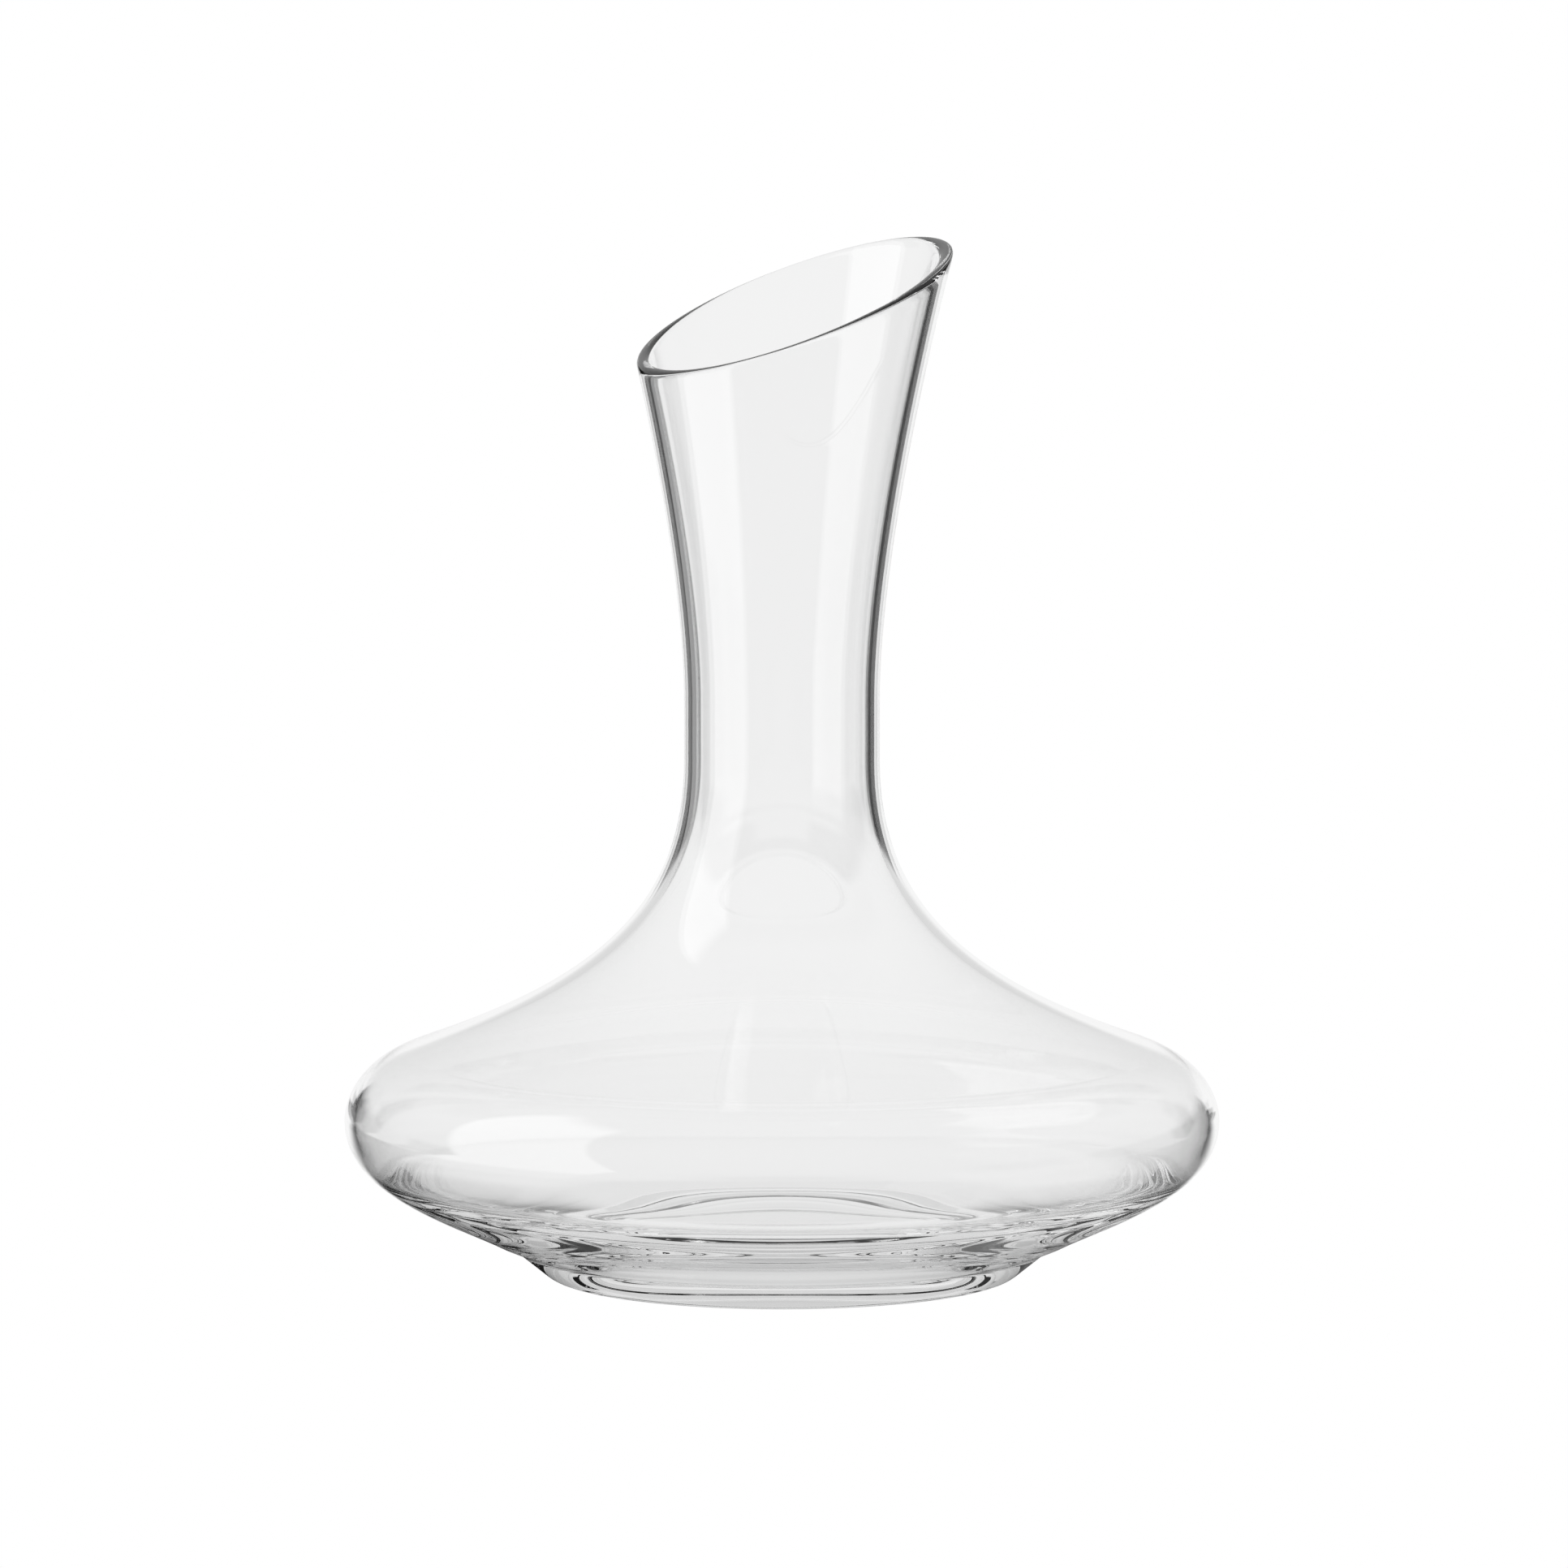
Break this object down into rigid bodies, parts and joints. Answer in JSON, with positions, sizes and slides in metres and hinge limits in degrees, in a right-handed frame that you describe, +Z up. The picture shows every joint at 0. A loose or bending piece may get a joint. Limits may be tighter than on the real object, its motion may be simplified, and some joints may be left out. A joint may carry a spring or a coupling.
{
  "type": "wine decanter",
  "caption": "Clear glass wine decanter: wide low bowl on a thick base, slim flared neck and a slanted pouring mouth, all one piece.",
  "frame": {"origin": "centre of the flat ring that the decanter rests on", "axes": "+Z up along the axis of the bowl and neck, +X towards the high side of the slanted mouth"},
  "size_m": [0.21, 0.21, 0.249],
  "materials": {
    "clear_glass": "clear, fire-polished"
  },
  "bodies": {
    "root": {"glass_vessel": "clear_glass"}
  },
  "joints": []
}
